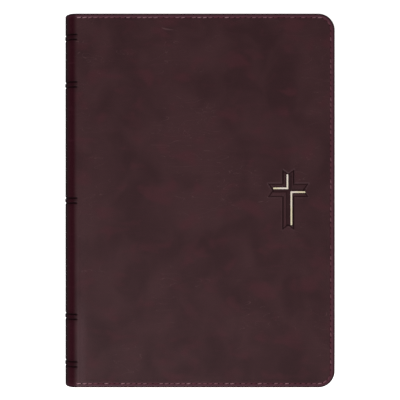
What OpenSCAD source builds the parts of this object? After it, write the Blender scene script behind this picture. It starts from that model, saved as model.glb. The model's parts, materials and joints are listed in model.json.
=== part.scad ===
// Prayer book in a soft leather-look cover, closed and lying on its back cover.
// Spine at -X, head at +Y, front cover at +Z. The origin is the middle of the underside.
// The front cover, the leaves behind it and the back cover turn about lines along Y.

/* [Book] */
// Width from the spine to the fore edge
book_w = 156.7; // [150:0.1:165]
// Height from tail to head
book_h = 216; // [205:0.5:225]
// Thickness of the closed book
book_t = 28; // [26:0.5:32]
// Radius of the cover's two fore-edge corners
corner_r = 9.5; // [7:0.5:12]

/* [Cover] */
// Thickness of a whole cover, from its face to its pastedown
cover_t = 2.4; // [2.2:0.1:3]
// Thickness of the leather
leather_t = 0.9; // [0.7:0.05:1]
// Width of the leather turned in round the board
turn_in_w = 14; // [10:0.5:18]
// Thickness of the turned-in leather where the pastedown covers it
turn_in_t = 0.25; // [0.2:0.05:0.4]
// Width of the leather left showing round the pastedown
margin_w = 3.2; // [3:0.1:5]
// Thickness of a pastedown
pastedown_t = 0.25; // [0.15:0.05:0.3]
// Bare leather between a joint and its board
board_setback = 3; // [2:0.5:5]

/* [Joints] */
// Distance from the spine's outermost line to the line where both covers bend
spine_bulge = 7.35; // [6.5:0.05:8]
// Height of the front joint's axis above the front face
front_axis_rise = 0.3; // [0.3:0.05:0.5]
// Height of the back joint's axis above the underside
back_axis_rise = 1.5; // [1.4:0.05:1.6]
// Half the gap between spine and front cover at the front joint
front_joint_gap = 0.3; // [0.25:0.05:0.5]
// How far the spine leather runs on past the back joint, underneath
back_joint_reach = 4.8; // [4.5:0.1:5.2]
// Gap between the spine leather and the back cover's edge
back_joint_gap = 0.6; // [0.5:0.05:0.8]

/* [Spine] */
// Radius of the spine's two shoulders
shoulder_r = 5; // [4:0.25:6]
// Thickness of the strip that stiffens the spine leather
liner_t = 0.5; // [0.3:0.05:0.7]
// How far the liner stops short of the leather at head and tail
liner_inset = 4; // [2:0.5:8]
// Distance from the middle band to the bands above and below it
band_inner_y = 67.1; // [60:0.1:75]
// Distance from the middle band to the two end bands
band_outer_y = 94.5; // [88:0.1:98]
// Spacing of the two grooves of a band
groove_spacing = 2.9; // [2.4:0.1:3.5]
// Width of a groove
groove_w = 0.8; // [0.5:0.05:1.2]
// Depth of a groove
groove_d = 0.3; // [0.15:0.05:0.4]

/* [Pages] */
// Width of a leaf
page_w = 147; // [140:0.5:148]
// Height of a leaf
page_h = 210; // [200:0.5:211]
// Radius of a leaf's two fore-edge corners
page_corner_r = 6.5; // [4:0.5:9]
// Number of sewn gatherings of leaves
gatherings = 20; // [16:1:24]
// Number of gatherings that turn over with the front cover
turned = 8; // [4:1:12]
// Air between two gatherings that turn apart
leaf_gap = 0.12; // [0.1:0.01:0.2]
// Air between a cover and the flyleaf next to it
cover_gap = 0.3; // [0.25:0.05:0.5]
// Thickness of a flyleaf
flyleaf_t = 0.15; // [0.12:0.01:0.25]
// Radius of the rounded back of the sewn pages
back_r = 21; // [20:0.5:24]
// Distance from the spine's outermost line to the back of the pages
back_setback = 3.35; // [3.3:0.05:4]
// Thickness of the gauze glued to that back
gauze_t = 0.3; // [0.2:0.05:0.4]
// Thickness of the paper glued over the gauze
lining_t = 0.2; // [0.1:0.05:0.3]
// How far the gauze stops short of the pages at head and tail
gauze_inset = 8.5; // [6:0.5:14]
// Diameter of the bead along a head or tail band
bead_d = 1.6; // [1.2:0.1:2]
// Width of the tape that holds the bead
band_tape_w = 7; // [5:0.5:8]

/* [Stitching] */
// Distance from the cover's edge to the middle of the seam
seam_inset = 2.35; // [2:0.05:2.6]
// Width of the thread
thread_w = 0.6; // [0.4:0.05:0.8]
// Height of the thread in its groove
thread_h = 0.3; // [0.2:0.05:0.35]
// How far the thread lies below the leather's surface
thread_sink = 0.1; // [0.05:0.05:0.15]

/* [Cross] */
// Middle of the cross's stem, across the cover
cross_x = 51.5; // [45:0.1:55]
// Middle of the cross's arms, along the cover
cross_y = 6; // [-10:0.1:20]
// Half the width of the outlined stem
stem_half = 3.35; // [3:0.05:4]
// Half the height of the outlined arms
arm_half = 3.8; // [3.4:0.05:4.4]
// Reach of each arm from the middle of the stem
arm_reach = 11.6; // [10:0.1:14]
// Reach of the top from the middle of the arms
top_reach = 11.9; // [10:0.1:14]
// Reach of the foot from the middle of the arms
foot_reach = 22.7; // [18:0.1:26]
// Depth of the notch cut into each end
notch = 2.5; // [1.5:0.1:3]
// Width of the outline pressed into the leather
outline_w = 0.45; // [0.3:0.05:0.6]
// Depth of the outline
outline_d = 0.25; // [0.15:0.05:0.35]
// Width of a foil stroke
foil_w = 0.9; // [0.7:0.05:1.2]
// Thickness of the foil
foil_t = 0.08; // [0.05:0.01:0.1]
// Depth of the channel that holds the foil
foil_d = 0.3; // [0.2:0.05:0.4]

/* [Hidden] */
$fn = 96;
cut_over = 1; // how far a cut runs past the surface that it opens

// Covers and joints
fore_x = book_w / 2;
joint_x = fore_x - book_w + spine_bulge;
half_h = book_h / 2;
mid_z = book_t / 2;
front_x0 = joint_x + front_joint_gap;
back_x0 = joint_x + back_joint_reach + back_joint_gap;
inner_z = book_t - cover_t;
inner_corner_r = 2; // least radius of an inset outline's corners
front_axis = [joint_x, 0, book_t + front_axis_rise];
back_axis = [joint_x, 0, back_axis_rise];
echo(front_axis = front_axis, back_axis = back_axis); // both run along Y

// Spine: two shoulders and one flatter arc between them, all tangent
shoulder_z = book_t - shoulder_r;
shoulder_rise = mid_z - shoulder_r;
spine_r = (pow(spine_bulge, 2) - pow(shoulder_r, 2) + pow(shoulder_rise, 2))
    / (2 * (spine_bulge - shoulder_r));
spine_cx = joint_x - spine_bulge + spine_r;
tangent_a = atan2(shoulder_rise, spine_r - spine_bulge);
liner_a = tangent_a - 1; // half the angle that the liner spans
liner_r = spine_r - leather_t - 0.05; // the liner lies just inside the leather
groove_end = 0.1; // a groove stops this far short of the leather's edge
band_ys = [-band_outer_y, -band_inner_y, 0, band_inner_y, band_outer_y];

// Pages
page_half_h = page_h / 2;
block_top = inner_z - cover_gap;
block_bottom = cover_t + cover_gap;
stack_top = block_top - flyleaf_t - leaf_gap;
stack_bottom = block_bottom + flyleaf_t + leaf_gap;
gathering_t = (stack_top - stack_bottom - turned * leaf_gap) / gatherings;
turned_bottom = stack_top - turned * (gathering_t + leaf_gap);
back_cx = joint_x - spine_bulge + back_setback + back_r;
fold_r = back_r - 0.1; // the folds lie just inside the gauze
gauze_a = asin((mid_z - stack_bottom) / back_r) - 1; // half the angle that the gauze spans

// Seam
thread_room = 0.1; // air beside and under the thread
thread_top = book_t - thread_sink;
inner_thread_top = inner_z + thread_sink;

// Foil strokes, measured from the middle of stem and arms
stroke_left = -1;
stroke_right = 2.2;
stroke_up = 1.5;
stroke_down = -1.6;
stroke_top = 9.1;
stroke_foot = -20.2;
stroke_reach_left = -8.8;
stroke_reach_right = 9.8;

gathering_names = [for (i = [1:gatherings]) str("gathering_", i < 10 ? "0" : "", i)];

// Points of an arc, from angle a0 to angle a1
function arc(cx, cy, r, a0, a1, steps) =
    [for (i = [0:steps]) let (a = a0 + (a1 - a0) * i / steps) [cx + r * cos(a), cy + r * sin(a)]];

function flipped(list) = [for (i = [len(list) - 1:-1:0]) list[i]];

// The spine's cross-section line, inset from its outer surface: from a point on the front
// face, round the spine and back to a point on the underside
function spine_line(inset, front_end, back_end) = concat(
    [[front_end, book_t - inset]],
    arc(joint_x, shoulder_z, shoulder_r - inset, 90, 180 - tangent_a, 12),
    arc(spine_cx, mid_z, spine_r - inset, 180 - tangent_a, 180 + tangent_a, 24),
    arc(joint_x, shoulder_r, shoulder_r - inset, 180 + tangent_a, 270, 12),
    [[back_end, inset]]
);

// Where a gathering's folds lie, so that its two edges stay inside the rounded back
function fold_x(top) =
    back_cx - sqrt(pow(fold_r, 2) - pow(max(abs(top - mid_z), abs(top - gathering_t - mid_z)), 2));

function gathering_top(i) =
    stack_top - i * gathering_t - min(i, turned) * leaf_gap;

// Square at the spine side, with round corners at the fore edge
module leaf_outline(x0, x1, half, r) {
    translate([x0, -half])
        square([x1 - x0 - r, 2 * half]);
    translate([x1 - r - 0.01, r - half])
        square([r + 0.01, 2 * (half - r)]);
    for (side = [-1, 1])
        translate([x1 - r, side * (half - r)])
            circle(r);
}

// The cover's outline, drawn in from its three outer edges
module cover_outline(x0, inset) {
    leaf_outline(x0, fore_x - inset, half_h - inset, max(corner_r - inset, inner_corner_r));
}

// A strip along the cover's three outer edges
module edge_strip(x0, from, to) {
    difference() {
        cover_outline(x0, from);
        cover_outline(x0 - cut_over, to);
    }
}

module layer(z0, z1) {
    translate([0, 0, z0])
        linear_extrude(z1 - z0)
            children();
}

// Runs a cross-section drawn in X and Z along the book's height
module along_y(length, y = 0) {
    translate([0, y + length / 2, 0])
        rotate([90, 0, 0])
            linear_extrude(length)
                children();
}

module to_back() {
    translate([0, 0, book_t])
        mirror([0, 0, 1])
            children();
}

// One cover's leather, turned in round the board, with a groove for the seam on both faces
module cover_leather(x0) {
    difference() {
        union() {
            layer(book_t - leather_t, book_t)
                cover_outline(x0, 0);
            layer(inner_z, book_t - leather_t)
                edge_strip(x0, 0, leather_t);
            layer(inner_z + pastedown_t, inner_z + pastedown_t + turn_in_t)
                edge_strip(x0, 0, turn_in_w);
            layer(inner_z, inner_z + pastedown_t + turn_in_t)
                edge_strip(x0, 0, margin_w);
        }
        layer(thread_top - thread_h - thread_room, book_t + cut_over)
            seam_strip(x0 - cut_over, thread_room);
        layer(inner_z - cut_over, inner_thread_top + thread_h)
            seam_strip(x0 - cut_over, thread_room);
    }
}

module seam_strip(x0, room) {
    half_w = thread_w / 2 + room;
    edge_strip(x0, seam_inset - half_w, seam_inset + half_w);
}

// The board, thinner round its edge where the leather is turned in under it
module cover_board(x0) {
    layer(inner_z + pastedown_t + turn_in_t, book_t - leather_t)
        cover_outline(x0 + board_setback, leather_t);
    layer(inner_z + pastedown_t, inner_z + pastedown_t + turn_in_t)
        cover_outline(x0 + board_setback, turn_in_w);
}

module cover_pastedown(x0) {
    layer(inner_z, inner_z + pastedown_t)
        cover_outline(x0, margin_w);
}

// The seam's thread, along the cover's face and along its inside
module cover_thread(x0) {
    layer(thread_top - thread_h, thread_top)
        seam_strip(x0, 0);
    layer(inner_thread_top, inner_thread_top + thread_h - thread_room)
        seam_strip(x0, 0);
}

// Latin cross with a notch in each end, drawn in from its outline
module cross_shape(inset) {
    s = stem_half - inset;
    a = arm_half - inset;
    up = top_reach - inset;
    down = foot_reach - inset;
    side = arm_reach - inset;
    translate([cross_x, cross_y])
        polygon([
            [-s, up], [0, up - notch], [s, up], [s, a],
            [side, a], [side - notch, 0], [side, -a], [s, -a],
            [s, -down], [0, notch - down], [-s, -down], [-s, -a],
            [-side, -a], [notch - side, 0], [-side, a], [-s, a]
        ]);
}

// The two angled strokes that hold the foil
module foil_strokes() {
    translate([cross_x, cross_y]) {
        polygon([
            [stroke_left, stroke_top], [stroke_left + foil_w, stroke_top],
            [stroke_left + foil_w, stroke_up - foil_w], [stroke_reach_left, stroke_up - foil_w],
            [stroke_reach_left, stroke_up], [stroke_left, stroke_up]
        ]);
        polygon([
            [stroke_right, stroke_foot], [stroke_right - foil_w, stroke_foot],
            [stroke_right - foil_w, stroke_down + foil_w], [stroke_reach_right, stroke_down + foil_w],
            [stroke_reach_right, stroke_down], [stroke_right, stroke_down]
        ]);
    }
}

module front_leather() {
    color([0.25, 0.16, 0.17])
        difference() {
            cover_leather(front_x0);
            layer(book_t - outline_d, book_t + cut_over)
                difference() {
                    cross_shape(0);
                    cross_shape(outline_w);
                }
            layer(book_t - foil_d, book_t + cut_over)
                foil_strokes();
        }
}

module front_board() {
    color([0.55, 0.5, 0.43])
        cover_board(front_x0);
}

module front_pastedown() {
    color([0.93, 0.9, 0.83])
        cover_pastedown(front_x0);
}

module front_stitching() {
    color([0.36, 0.22, 0.25])
        cover_thread(front_x0);
}

module foil_cross() {
    color([0.93, 0.88, 0.77])
        layer(book_t - foil_d, book_t - foil_d + foil_t)
            foil_strokes();
}

module back_leather() {
    color([0.25, 0.16, 0.17])
        to_back()
            cover_leather(back_x0);
}

module back_board() {
    color([0.55, 0.5, 0.43])
        to_back()
            cover_board(back_x0);
}

module back_pastedown() {
    color([0.93, 0.9, 0.83])
        to_back()
            cover_pastedown(back_x0);
}

module back_stitching() {
    color([0.36, 0.22, 0.25])
        to_back()
            cover_thread(back_x0);
}

// A cut along the spine's outer surface
module spine_groove(y) {
    along_y(groove_w, y)
        polygon(concat(
            spine_line(-cut_over, joint_x - front_joint_gap - groove_end, joint_x),
            flipped(spine_line(groove_d, joint_x - front_joint_gap - groove_end, joint_x))
        ));
}

module spine_leather() {
    front_end = joint_x - front_joint_gap;
    back_end = joint_x + back_joint_reach;
    color([0.2, 0.1, 0.12])
        difference() {
            along_y(book_h)
                polygon(concat(
                    spine_line(0, front_end, back_end),
                    flipped(spine_line(leather_t, front_end, back_end))
                ));
            for (y = band_ys)
                for (side = [-1, 1])
                    spine_groove(y + side * groove_spacing / 2);
        }
}

// A curved strip concentric with an arc, from one radius to another
module curved_strip(cx, r0, r1, half_a, length) {
    along_y(length)
        polygon(concat(
            arc(cx, mid_z, r1, 180 - half_a, 180 + half_a, 24),
            flipped(arc(cx, mid_z, r0, 180 - half_a, 180 + half_a, 24))
        ));
}

module spine_liner() {
    color([0.62, 0.56, 0.47])
        curved_strip(spine_cx, liner_r - liner_t, liner_r, liner_a, book_h - 2 * liner_inset);
}

module spine_gauze() {
    color([0.9, 0.88, 0.82])
        curved_strip(back_cx, back_r, back_r + gauze_t, gauze_a, page_h - 2 * gauze_inset);
}

module spine_lining() {
    color([0.7, 0.6, 0.46])
        curved_strip(back_cx, back_r + gauze_t, back_r + gauze_t + lining_t, gauze_a, page_h);
}

// A woven bead over the end of the pages' back, on a tape glued under the lining
module end_band() {
    bead_r = bead_d / 2;
    tape_top = page_half_h + bead_r;
    bead_y = page_half_h + bead_r + 0.1;
    color([0.45, 0.13, 0.16]) {
        translate([0, tape_top - band_tape_w / 2, 0])
            curved_strip(back_cx, back_r, back_r + gauze_t, gauze_a, band_tape_w);
        translate([back_cx, bead_y, mid_z])
            rotate([90, 0, 0])
                rotate([0, 0, 180 - gauze_a])
                    rotate_extrude(angle = 2 * gauze_a)
                        translate([back_r - bead_r + 0.1, 0])
                            circle(bead_r);
    }
}

module head_band() {
    end_band();
}

module tail_band() {
    mirror([0, 1, 0])
        end_band();
}

// The backs of the turning gatherings, held together by thread and glue
module glued_folds() {
    top_a = asin((stack_top - mid_z) / fold_r);
    low_a = asin((turned_bottom - mid_z) / fold_r);
    edge_x = joint_x - front_joint_gap;
    color([0.93, 0.91, 0.85])
        along_y(page_h)
            polygon(concat(
                [[edge_x, stack_top]],
                arc(back_cx, mid_z, fold_r, 180 - top_a, 180 - low_a, 10),
                [[edge_x, turned_bottom]]
            ));
}

module front_flyleaf() {
    color([0.93, 0.9, 0.83])
        layer(block_top - flyleaf_t, block_top)
            leaf_outline(front_x0, fold_x(stack_top) + page_w, page_half_h, page_corner_r);
}

module back_flyleaf() {
    color([0.93, 0.9, 0.83])
        layer(block_bottom, block_bottom + flyleaf_t)
            leaf_outline(back_x0, fold_x(stack_top) + page_w, page_half_h, page_corner_r);
}

// One gathering of folded leaves. Those that turn are cut off at the joint, where the
// glued folds take over
module gathering(i) {
    top = gathering_top(i);
    color([0.93, 0.91, 0.85])
        layer(top - gathering_t, top)
            leaf_outline(i < turned ? front_x0 : fold_x(top), fold_x(top) + page_w,
                page_half_h, page_corner_r);
}

front_leather();
front_board();
front_pastedown();
front_stitching();
foil_cross();
back_leather();
back_board();
back_pastedown();
back_stitching();
spine_leather();
spine_liner();
spine_gauze();
spine_lining();
head_band();
tail_band();
glued_folds();
front_flyleaf();
back_flyleaf();
for (i = [0:gatherings - 1])
    gathering(i);
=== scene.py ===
import json
import math

import bpy
import numpy as np
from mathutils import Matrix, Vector, noise

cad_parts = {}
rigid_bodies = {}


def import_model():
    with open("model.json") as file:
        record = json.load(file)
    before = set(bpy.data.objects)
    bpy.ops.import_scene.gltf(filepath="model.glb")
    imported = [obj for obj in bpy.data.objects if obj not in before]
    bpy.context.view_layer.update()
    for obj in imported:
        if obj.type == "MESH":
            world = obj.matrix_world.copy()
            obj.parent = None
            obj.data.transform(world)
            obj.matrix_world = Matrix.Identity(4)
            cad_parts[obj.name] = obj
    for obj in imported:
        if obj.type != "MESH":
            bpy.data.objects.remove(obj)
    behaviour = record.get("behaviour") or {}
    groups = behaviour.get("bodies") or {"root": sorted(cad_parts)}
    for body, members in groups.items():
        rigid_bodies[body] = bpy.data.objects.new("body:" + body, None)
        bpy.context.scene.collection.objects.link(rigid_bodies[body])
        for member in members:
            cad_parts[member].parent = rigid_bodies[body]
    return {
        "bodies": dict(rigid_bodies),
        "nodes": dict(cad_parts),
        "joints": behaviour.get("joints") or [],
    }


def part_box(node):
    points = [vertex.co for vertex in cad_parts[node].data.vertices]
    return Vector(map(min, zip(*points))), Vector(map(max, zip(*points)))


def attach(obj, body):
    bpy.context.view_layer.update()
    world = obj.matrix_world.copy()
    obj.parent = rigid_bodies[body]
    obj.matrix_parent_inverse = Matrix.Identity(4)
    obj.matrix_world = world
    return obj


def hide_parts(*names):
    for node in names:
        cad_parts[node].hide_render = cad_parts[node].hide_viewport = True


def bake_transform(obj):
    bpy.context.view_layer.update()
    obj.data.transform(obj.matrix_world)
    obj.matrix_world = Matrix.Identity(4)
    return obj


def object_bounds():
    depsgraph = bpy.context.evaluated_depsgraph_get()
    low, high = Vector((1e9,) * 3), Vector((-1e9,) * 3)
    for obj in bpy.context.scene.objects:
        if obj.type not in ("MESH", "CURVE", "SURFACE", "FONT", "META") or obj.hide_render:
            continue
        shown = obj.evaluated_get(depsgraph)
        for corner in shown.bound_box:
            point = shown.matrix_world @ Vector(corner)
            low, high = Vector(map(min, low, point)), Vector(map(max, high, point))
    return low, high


# A prayer book lying closed on its back cover, with its spine at the left and its head away
# from the reader. Shapes are worked out in millimetres, and makeMesh turns them into metres.

mm = 0.001
scene = bpy.context.scene
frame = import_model()
cadLow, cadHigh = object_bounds()


def span(node):
    low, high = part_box(node)
    return low / mm, high / mm


def smooth(low, high, x):
    t = np.clip((np.asarray(x, float) - low) / (high - low), 0, 1)
    return t * t * (3 - 2 * t)


def bell(x, middle, width):
    return np.exp(-((np.asarray(x, float) - middle) / width) ** 2)


# what the frame says about the book
bodies = frame["bodies"]
foreX, headY, topZ = cadHigh / mm
spineX, underZ = cadLow.x / mm, cadLow.z / mm
midZ = (topZ + underZ) / 2
jointX = [j["pos_m"][0] for j in frame["joints"] if j["name"] == "front_cover_hinge"][0] / mm
coverThick = topZ - span("front_pastedown")[0].z
leatherThick = topZ - span("front_board")[1].z
marginWide = foreX - span("front_pastedown")[1].x
print("frame:", len(bodies), "bodies,", len(frame["nodes"]), "nodes")


# finishes: each has its own function, and shader maths is written on wires

class Wire:
    # a node's output, so that shader maths reads as plain arithmetic

    def __init__(self, finish, socket):
        self.finish = finish
        self.socket = socket

    def join(self, operation, first, second):
        return self.finish.node("ShaderNodeMath", {"operation": operation}, {0: first, 1: second})

    def __add__(self, other):
        return self.join("ADD", self, other)

    def __radd__(self, other):
        return self.join("ADD", other, self)

    def __sub__(self, other):
        return self.join("SUBTRACT", self, other)

    def __rsub__(self, other):
        return self.join("SUBTRACT", other, self)

    def __mul__(self, other):
        return self.join("MULTIPLY", self, other)

    def __rmul__(self, other):
        return self.join("MULTIPLY", other, self)

    def clamped(self):
        return self.finish.node("ShaderNodeClamp", {}, {"Value": self})

    def peak(self, middle, width):
        # 1 where the value is middle, falling to 0 at width on either side
        off = self.finish.node("ShaderNodeMath", {"operation": "ABSOLUTE"}, {0: self - middle})
        return off.ramp(0.0, width, 1.0, 0.0)

    def ramp(self, low, high, toLow=0.0, toHigh=1.0):
        sockets = {"Value": self, "From Min": low, "From Max": high, "To Min": toLow, "To Max": toHigh}
        return self.finish.node("ShaderNodeMapRange", {"interpolation_type": "SMOOTHSTEP"}, sockets)


class Finish:
    # one material while it is being made

    def __init__(self, name):
        self.material = bpy.data.materials.new(name)
        self.material.use_nodes = True
        self.tree = self.material.node_tree
        self.tree.nodes.clear()

    def node(self, kind, settings, sockets, output=0):
        made = self.tree.nodes.new(kind)
        for key, value in settings.items():
            setattr(made, key, value)
        for key, value in sockets.items():
            if isinstance(value, Wire):
                self.tree.links.new(value.socket, made.inputs[key])
            elif isinstance(value, tuple) and len(value) == 3 and made.inputs[key].type == "RGBA":
                made.inputs[key].default_value = (*value, 1)
            else:
                made.inputs[key].default_value = value
        return Wire(self, made.outputs[output])

    def place(self):
        # the surface's own developed place in metres, which stays put when the piece bends
        return self.node("ShaderNodeAttribute", {"attribute_name": "place"}, {}, "Vector")

    def space(self):
        return self.node("ShaderNodeTexCoord", {}, {}, "Object")

    def mark(self, name):
        return self.node("ShaderNodeAttribute", {"attribute_name": name}, {}, "Fac")

    def stretch(self, vector, factors):
        return self.node("ShaderNodeVectorMath", {"operation": "MULTIPLY"}, {0: vector, 1: factors})

    def cloud(self, vector, size, detail=3.0, roughness=0.5, twist=0.0):
        # noise from 0 to 1 with features about size millimetres across
        sockets = {"Vector": vector, "Scale": 1 / (size * mm), "Detail": detail,
                   "Roughness": roughness, "Distortion": twist}
        return self.node("ShaderNodeTexNoise", {}, sockets)

    def cells(self, vector, size):
        return self.node("ShaderNodeTexVoronoi", {}, {"Vector": vector, "Scale": 1 / (size * mm)})

    def blendColour(self, factor, first, second):
        return self.node("ShaderNodeMix", {"data_type": "RGBA"}, {0: factor, 6: first, 7: second}, 2)

    def bump(self, height, depth, under=None):
        sockets = {"Height": height, "Distance": depth * mm, "Strength": 1.0}
        if under is not None:
            sockets["Normal"] = under
        return self.node("ShaderNodeBump", {}, sockets)

    def done(self, sockets):
        shader = self.node("ShaderNodeBsdfPrincipled", {}, sockets)
        output = self.tree.nodes.new("ShaderNodeOutputMaterial")
        self.tree.links.new(shader.socket, output.inputs["Surface"])
        return self.material


def shade(red, green, blue):
    # a colour as it shows on screen, turned into the linear values that the shader takes
    screen = (red / 255, green / 255, blue / 255)
    return tuple(((c + 0.055) / 1.055) ** 2.4 if c > 0.04 else c / 12.92 for c in screen)


leatherLook = {
    "shadow": shade(54, 32, 35),  # the darkest clouds
    "earth": shade(66, 41, 44),  # the paler brown between them
    "wine": shade(73, 38, 44),  # redder patches
    "rubbed": shade(85, 43, 56),  # where hands rub the seam's margin
    "paintedHighlight": shade(78, 55, 59),  # painted highlight along the joint's corner towards the tail, and on the cross's raised lips
    "rim": shade(33, 17, 22),  # darker over the rolled edge itself
    "shoulder": shade(46, 17, 24),  # leather stretched over the spine's shoulders
    "spineShade": shade(35, 26, 28),  # painted shade down the flatter middle of the spine
    "pressed": shade(21, 11, 13),  # painted shade on the floor of grooves and pressed lines
    "scratch": shade(129, 98, 100),  # fine dry scratches
    "roughness": 0.6,
    "dressing": 0.16,  # how much wax the flat leather carries
    "polish": 0.11,  # how much more there is where hands rub it
}


colours = {  # of each smaller finish: its ground, what varies over it, and its marks
    "flesh": (shade(74, 52, 48), shade(96, 72, 64)),
    "foil": (shade(238, 225, 214), shade(228, 215, 182), shade(190, 162, 138)),
    "leafPaper": (shade(238, 232, 216), shade(228, 220, 200)),
    "endPaper": (shade(226, 214, 190), shade(214, 200, 174)),
    "gilt": (shade(204, 166, 102), shade(190, 150, 88), shade(120, 88, 48)),
    "board": (shade(146, 132, 112), shade(170, 158, 138)),
    "gauze": (shade(168, 156, 130), shade(232, 226, 208)),
    "kraft": (shade(160, 128, 88), shade(188, 156, 112)),
    "linerCard": (shade(132, 118, 98), shade(158, 144, 122)),
    # needle: painted shade inside the needle holes
    "needle": (shade(12, 6, 8), shade(22, 12, 14)),
    # seamThread's third colour serves random wear and the painted highlight at the seam's ends
    "seamThread": (shade(69, 30, 39), shade(108, 52, 65), shade(176, 134, 142)),
    "wineSilk": (shade(92, 20, 30), shade(128, 34, 44), shade(128, 34, 44)),
    "ivorySilk": (shade(204, 190, 160), shade(232, 222, 196), shade(232, 222, 196)),
}


def leatherFinish():
    look = leatherLook
    finish = Finish("burgundyLeather")
    place = finish.place()
    broad = finish.cloud(finish.stretch(place, (1.0, 0.85, 1.0)), 34, 1.5, 0.5, 0.6)
    patches = finish.cloud(finish.stretch(place, (1.0, 0.8, 1.0)), 16, 2.0, 0.45, 0.6)
    redder = finish.cloud(finish.stretch(place, (0.8, 1.1, 1.0)), 12, 2.0, 0.5, 0.3)
    streaks = finish.cloud(finish.stretch(place, (0.1, 1.0, 1.0)), 1.7, 3.0, 0.6)
    grain = finish.cells(place, 0.75)
    pores = finish.cloud(place, 0.32, 2.0, 0.6)
    folds = finish.cloud(place, 3.6, 4.0, 0.62, 0.5)
    tone = (broad * 0.5 + patches * 0.5).ramp(0.33, 0.66)
    colour = finish.blendColour(tone, look["shadow"], look["earth"])
    colour = finish.blendColour(redder.ramp(0.5, 0.72, 0.0, 0.6), colour, look["wine"])
    colour = finish.blendColour(finish.mark("spineWard"), colour, look["shoulder"])
    # painted shade down the spine's middle
    colour = finish.blendColour(finish.mark("spineShadeMask"), colour, look["spineShade"])
    fleck = pores.ramp(0.5, 0.75, 0.0, 0.14) + streaks.ramp(0.55, 0.8, 0.0, 0.14)
    rubbed = (finish.mark("burnish") * 0.8 + fleck).clamped()
    colour = finish.blendColour(rubbed, colour, look["rubbed"])
    colour = finish.blendColour(finish.mark("rim") * 0.85, colour, look["rim"])
    hairline = finish.cloud(finish.stretch(place, (0.2, 0.8, 1.0)), 6.0, 1.0, 0.4, 2.2)
    hairline = hairline.peak(0.5, 0.005) * broad.ramp(0.5, 0.6) * (1 - finish.mark("spineWard") * 0.8)
    colour = finish.blendColour(hairline * 0.25, colour, look["scratch"])
    # painted highlight at the joint's corner and on the cross's lips
    colour = finish.blendColour(finish.mark("paintedHighlight"), colour, look["paintedHighlight"])
    # painted shade in grooves and pressed lines
    colour = finish.blendColour(finish.mark("pressed"), colour, look["pressed"])
    roughness = look["roughness"] + (folds - 0.5) * 0.16
    wax = look["dressing"] + finish.mark("burnish") * look["polish"]
    wax = wax * (1 - finish.mark("spineWard") * 0.9) * (1 - finish.mark("pressed") * 0.85)
    normal = finish.bump(folds, 0.22)
    normal = finish.bump(grain.ramp(0.0, 0.75), 0.05, normal)
    normal = finish.bump(pores, 0.03, normal)
    return finish.done({"Base Color": colour, "Roughness": roughness, "Normal": normal,
                        "Specular IOR Level": 0.0, "Coat Weight": wax, "Coat Roughness": 0.42})


def mattFinish(name, tones, grain, edges, roughness, depth, factors=(1.0, 1.0, 1.0)):
    # two tones of nap, chips or pulp, where grain is their size, detail and roughness
    finish = Finish(name)
    pulp = finish.cloud(finish.stretch(finish.space(), factors), *grain)
    colour = finish.blendColour(pulp.ramp(*edges), *colours[tones])
    return finish.done({"Base Color": colour, "Roughness": roughness, "Normal": finish.bump(pulp, depth)})


def threadFinish(name, deep, pale, wearAndHighlight):
    finish = Finish(name)
    place = finish.space()
    fibre = finish.cloud(place, 0.18, 3.0, 0.6)
    tone = finish.cloud(place, 9, 2.0, 0.5)
    colour = finish.blendColour((fibre * 0.6 + tone * 0.4).ramp(0.35, 0.65), deep, pale)
    # random wear, and a painted highlight on the stitches at the seam's ends
    colour = finish.blendColour(finish.mark("wearAndHighlight"), colour, wearAndHighlight)
    return finish.done({"Base Color": colour, "Roughness": 0.62, "Specular IOR Level": 0.15,
                        "Normal": finish.bump(fibre, 0.04)})


def foilFinish():
    finish = Finish("paleGoldFoil")
    place = finish.space()
    dents = finish.cloud(place, 0.6, 3.0, 0.6)
    warm = finish.cloud(finish.stretch(place, (1.0, 0.5, 1.0)), 9, 2.0, 0.5)
    pale, golden, bare = colours["foil"]
    colour = finish.blendColour(warm.ramp(0.4, 0.62), pale, golden)
    wearAndHighlight = finish.cloud(place, 1.3, 4.0, 0.7).ramp(0.7, 0.8)
    colour = finish.blendColour(wearAndHighlight * 0.35, colour, bare)
    roughness = 0.34 + dents * 0.12
    return finish.done({"Base Color": colour, "Metallic": 0.55, "Roughness": roughness,
                        "Normal": finish.bump(dents, 0.02)})


def paperFinish(name, pale, deep):
    finish = Finish(name)
    place = finish.space()
    fibre = finish.cloud(place, 0.35, 4.0, 0.7)
    tone = finish.cloud(place, 45, 2.0, 0.5)
    colour = finish.blendColour((fibre * 0.35 + tone * 0.65).ramp(0.3, 0.7), pale, deep)
    return finish.done({"Base Color": colour, "Roughness": 0.82, "Specular IOR Level": 0.25,
                        "Normal": finish.bump(fibre, 0.012)})


def giltFinish():
    # gold laid over the closed edges of the leaves
    finish = Finish("giltEdge")
    place = finish.space()
    leafLines = finish.cloud(finish.stretch(place, (0.03, 0.03, 1.0)), 0.12, 2.0, 0.6)
    tone = finish.cloud(place, 22, 3.0, 0.6)
    bright, dull, line = colours["gilt"]
    colour = finish.blendColour(tone.ramp(0.35, 0.65), bright, dull)
    colour = finish.blendColour(leafLines.ramp(0.55, 0.7, 0.0, 0.5), colour, line)
    return finish.done({"Base Color": colour, "Metallic": 0.75, "Roughness": 0.36 + leafLines * 0.2,
                        "Normal": finish.bump(leafLines, 0.03)})


def gauzeFinish():
    finish = Finish("bindingGauze")
    place = finish.space()
    warp, weft = (finish.node("ShaderNodeTexWave", {"wave_type": "BANDS", "bands_direction": way},
                              {"Vector": place, "Scale": 260.0}, "Fac") for way in "YZ")
    weave = warp.join("MAXIMUM", warp, weft)
    colour = finish.blendColour(weave.ramp(0.3, 0.8), *colours["gauze"])
    return finish.done({"Base Color": colour, "Roughness": 0.92, "Normal": finish.bump(weave, 0.12)})


def needleShadeFinish():
    finish = Finish("needleHoleShade")
    depth = finish.cloud(finish.space(), 0.3, 2.0, 0.5)
    colour = finish.blendColour(depth, *colours["needle"])
    return finish.done({"Base Color": colour, "Roughness": 0.95, "Specular IOR Level": 0.05})


leather = leatherFinish()
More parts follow.
